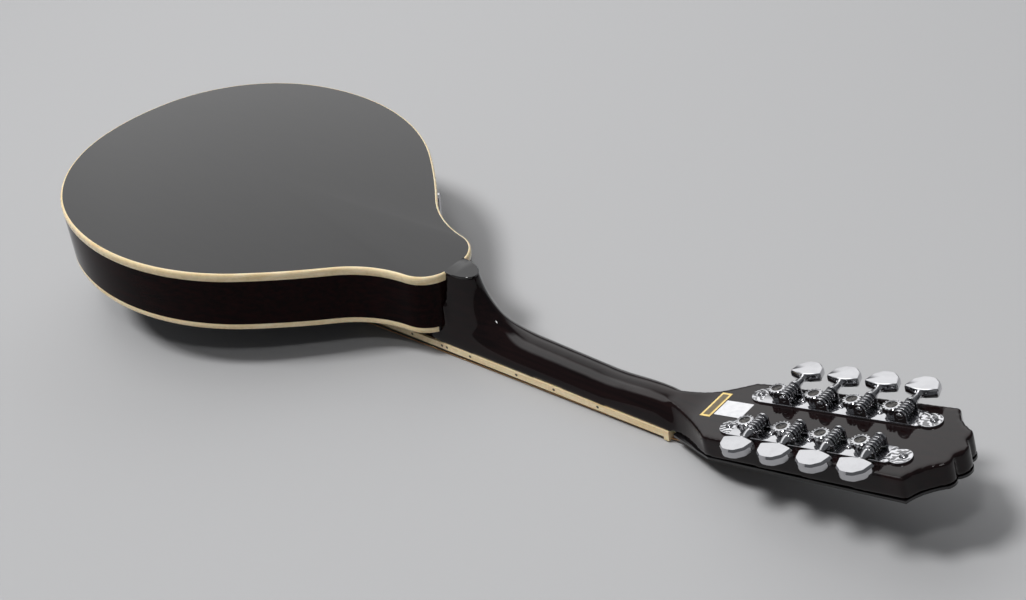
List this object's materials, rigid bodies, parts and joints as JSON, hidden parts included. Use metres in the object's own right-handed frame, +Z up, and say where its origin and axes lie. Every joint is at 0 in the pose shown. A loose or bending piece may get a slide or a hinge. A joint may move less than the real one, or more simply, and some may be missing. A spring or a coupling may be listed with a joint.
{
  "type": "mandolin",
  "caption": "Flat-backed mandolin with teardrop body, bound edges, arched top with f-holes, floating bridge and geared tuners, lying face down.",
  "frame": {"origin": "centre of the bounding box at the level of the surface that the strings rest on, the instrument lying face down", "axes": "+X along the strings from the tail towards the head, +Y towards the treble side, +Z up, out of the back"},
  "size_m": [0.6808, 0.2496, 0.0947],
  "materials": {
    "black_lacquer": "high-gloss black lacquer over wood",
    "side_lacquer": "high-gloss near-black lacquer with a dark red tint over maple",
    "cream_binding": "aged cream celluloid, polished",
    "board_wood": "dark rosewood, oiled",
    "bare_wood": "unfinished light wood inside the body",
    "chromed_metal": "polished chrome plate",
    "fret_metal": "polished nickel silver",
    "steel": "plain steel",
    "wound_metal": "bronze wound string",
    "dot_pearl": "pearl plastic",
    "brass_wheel": "knurled brass",
    "guard_plastic": "black plastic"
  },
  "bodies": {
    "root": {"back_plate": "black_lacquer", "binding_back": "cream_binding", "binding_top": "cream_binding", "braces": "bare_wood", "bridge_base": "board_wood", "bridge_studs": "steel", "end_pin": "chromed_metal", "fretboard": "board_wood", "fretboard_binding": "cream_binding", "frets": "fret_metal", "head_overlay": "black_lacquer", "kerfed_linings": "bare_wood", "neck": "side_lacquer", "neck_block": "bare_wood", "nut": "cream_binding", "pickguard": "guard_plastic", "pickguard_bracket": "chromed_metal", "position_dots": "dot_pearl", "post_bushings": "chromed_metal", "screws": "chromed_metal", "side_bass": "side_lacquer", "side_treble": "side_lacquer", "strings_plain": "steel", "strings_wound": "wound_metal", "tail_block": "bare_wood", "tailpiece_base": "chromed_metal", "top_plate": "black_lacquer", "truss_rod": "steel", "truss_rod_cover": "guard_plastic", "tuner_plate_bass": "chromed_metal", "tuner_plate_treble": "chromed_metal"},
    "worm_bass_1": {"tuner_worm_bass_1": "chromed_metal", "tuner_button_bass_1": "chromed_metal"},
    "post_bass_1": {"tuner_post_bass_1": "chromed_metal"},
    "worm_bass_2": {"tuner_worm_bass_2": "chromed_metal", "tuner_button_bass_2": "chromed_metal"},
    "post_bass_2": {"tuner_post_bass_2": "chromed_metal"},
    "worm_bass_3": {"tuner_worm_bass_3": "chromed_metal", "tuner_button_bass_3": "chromed_metal"},
    "post_bass_3": {"tuner_post_bass_3": "chromed_metal"},
    "worm_bass_4": {"tuner_worm_bass_4": "chromed_metal", "tuner_button_bass_4": "chromed_metal"},
    "post_bass_4": {"tuner_post_bass_4": "chromed_metal"},
    "worm_treble_1": {"tuner_worm_treble_1": "chromed_metal", "tuner_button_treble_1": "chromed_metal"},
    "post_treble_1": {"tuner_post_treble_1": "chromed_metal"},
    "worm_treble_2": {"tuner_worm_treble_2": "chromed_metal", "tuner_button_treble_2": "chromed_metal"},
    "post_treble_2": {"tuner_post_treble_2": "chromed_metal"},
    "worm_treble_3": {"tuner_worm_treble_3": "chromed_metal", "tuner_button_treble_3": "chromed_metal"},
    "post_treble_3": {"tuner_post_treble_3": "chromed_metal"},
    "worm_treble_4": {"tuner_worm_treble_4": "chromed_metal", "tuner_button_treble_4": "chromed_metal"},
    "post_treble_4": {"tuner_post_treble_4": "chromed_metal"},
    "saddle": {"bridge_saddle": "board_wood"},
    "wheel_bass": {"thumbwheel_bass": "brass_wheel"},
    "wheel_treble": {"thumbwheel_treble": "brass_wheel"},
    "tail_cover": {"tailpiece_cover": "chromed_metal"},
    "rod_nut": {"truss_rod_nut": "steel"}
  },
  "joints": [
    {"name": "tuner_turn_bass_1", "type": "hinge", "parent": "root", "child": "worm_bass_1", "pos_m": [0.22966, -0.01635, 0.04069], "axis": [0, -1, 0], "continuous": true},
    {"name": "post_turn_bass_1", "type": "hinge", "parent": "root", "child": "post_bass_1", "pos_m": [0.22236, -0.01635, 0.03898], "axis": [-0.2286, 0, 0.9735], "continuous": true},
    {"name": "tuner_turn_bass_2", "type": "hinge", "parent": "root", "child": "worm_bass_2", "pos_m": [0.25205, -0.01635, 0.04595], "axis": [0, -1, 0], "continuous": true},
    {"name": "post_turn_bass_2", "type": "hinge", "parent": "root", "child": "post_bass_2", "pos_m": [0.24475, -0.01635, 0.04424], "axis": [-0.2286, 0, 0.9735], "continuous": true},
    {"name": "tuner_turn_bass_3", "type": "hinge", "parent": "root", "child": "worm_bass_3", "pos_m": [0.27444, -0.01635, 0.05121], "axis": [0, -1, 0], "continuous": true},
    {"name": "post_turn_bass_3", "type": "hinge", "parent": "root", "child": "post_bass_3", "pos_m": [0.26714, -0.01635, 0.04949], "axis": [-0.2286, 0, 0.9735], "continuous": true},
    {"name": "tuner_turn_bass_4", "type": "hinge", "parent": "root", "child": "worm_bass_4", "pos_m": [0.29683, -0.01635, 0.05647], "axis": [0, -1, 0], "continuous": true},
    {"name": "post_turn_bass_4", "type": "hinge", "parent": "root", "child": "post_bass_4", "pos_m": [0.28953, -0.01635, 0.05475], "axis": [-0.2286, 0, 0.9735], "continuous": true},
    {"name": "tuner_turn_treble_1", "type": "hinge", "parent": "root", "child": "worm_treble_1", "pos_m": [0.22966, 0.01635, 0.04069], "axis": [0, 1, 0], "continuous": true},
    {"name": "post_turn_treble_1", "type": "hinge", "parent": "root", "child": "post_treble_1", "pos_m": [0.22236, 0.01635, 0.03898], "axis": [-0.2286, 0, 0.9735], "continuous": true},
    {"name": "tuner_turn_treble_2", "type": "hinge", "parent": "root", "child": "worm_treble_2", "pos_m": [0.25205, 0.01635, 0.04595], "axis": [0, 1, 0], "continuous": true},
    {"name": "post_turn_treble_2", "type": "hinge", "parent": "root", "child": "post_treble_2", "pos_m": [0.24475, 0.01635, 0.04424], "axis": [-0.2286, 0, 0.9735], "continuous": true},
    {"name": "tuner_turn_treble_3", "type": "hinge", "parent": "root", "child": "worm_treble_3", "pos_m": [0.27444, 0.01635, 0.05121], "axis": [0, 1, 0], "continuous": true},
    {"name": "post_turn_treble_3", "type": "hinge", "parent": "root", "child": "post_treble_3", "pos_m": [0.26714, 0.01635, 0.04949], "axis": [-0.2286, 0, 0.9735], "continuous": true},
    {"name": "tuner_turn_treble_4", "type": "hinge", "parent": "root", "child": "worm_treble_4", "pos_m": [0.29683, 0.01635, 0.05647], "axis": [0, 1, 0], "continuous": true},
    {"name": "post_turn_treble_4", "type": "hinge", "parent": "root", "child": "post_treble_4", "pos_m": [0.28953, 0.01635, 0.05475], "axis": [-0.2286, 0, 0.9735], "continuous": true},
    {"name": "saddle_height", "type": "slide", "parent": "root", "child": "saddle", "axis": [-0.1029, 0, -0.9947], "range_m": [0, 0.002], "deforming": ["strings_wound", "strings_plain"]},
    {"name": "wheel_turn_bass", "type": "hinge", "parent": "saddle", "child": "wheel_bass", "pos_m": [-0.18742, -0.037, 0.01195], "axis": [-0.1029, 0, -0.9947], "range_deg": [0, 1029.6]},
    {"name": "wheel_turn_treble", "type": "hinge", "parent": "saddle", "child": "wheel_treble", "pos_m": [-0.18742, 0.037, 0.01195], "axis": [-0.1029, 0, -0.9947], "range_deg": [0, 1029.6]},
    {"name": "cover_slide", "type": "slide", "parent": "root", "child": "tail_cover", "axis": [-0.9461, 0, 0.324], "range_m": [0, 0.045]},
    {"name": "rod_adjust", "type": "hinge", "parent": "root", "child": "rod_nut", "pos_m": [0.16902, 0, 0.01114], "axis": [1, 0, -0.0071], "range_deg": [-180, 180]}
  ],
  "couplings": [
    {"joint": "post_turn_bass_1", "follows": "tuner_turn_bass_1", "ratio": 0.071429},
    {"joint": "post_turn_bass_2", "follows": "tuner_turn_bass_2", "ratio": 0.071429},
    {"joint": "post_turn_bass_3", "follows": "tuner_turn_bass_3", "ratio": 0.071429},
    {"joint": "post_turn_bass_4", "follows": "tuner_turn_bass_4", "ratio": 0.071429},
    {"joint": "post_turn_treble_1", "follows": "tuner_turn_treble_1", "ratio": -0.071429},
    {"joint": "post_turn_treble_2", "follows": "tuner_turn_treble_2", "ratio": -0.071429},
    {"joint": "post_turn_treble_3", "follows": "tuner_turn_treble_3", "ratio": -0.071429},
    {"joint": "post_turn_treble_4", "follows": "tuner_turn_treble_4", "ratio": -0.071429},
    {"joint": "wheel_turn_bass", "follows": "saddle_height", "rad_per_m": 8976},
    {"joint": "wheel_turn_treble", "follows": "saddle_height", "rad_per_m": 8976}
  ]
}
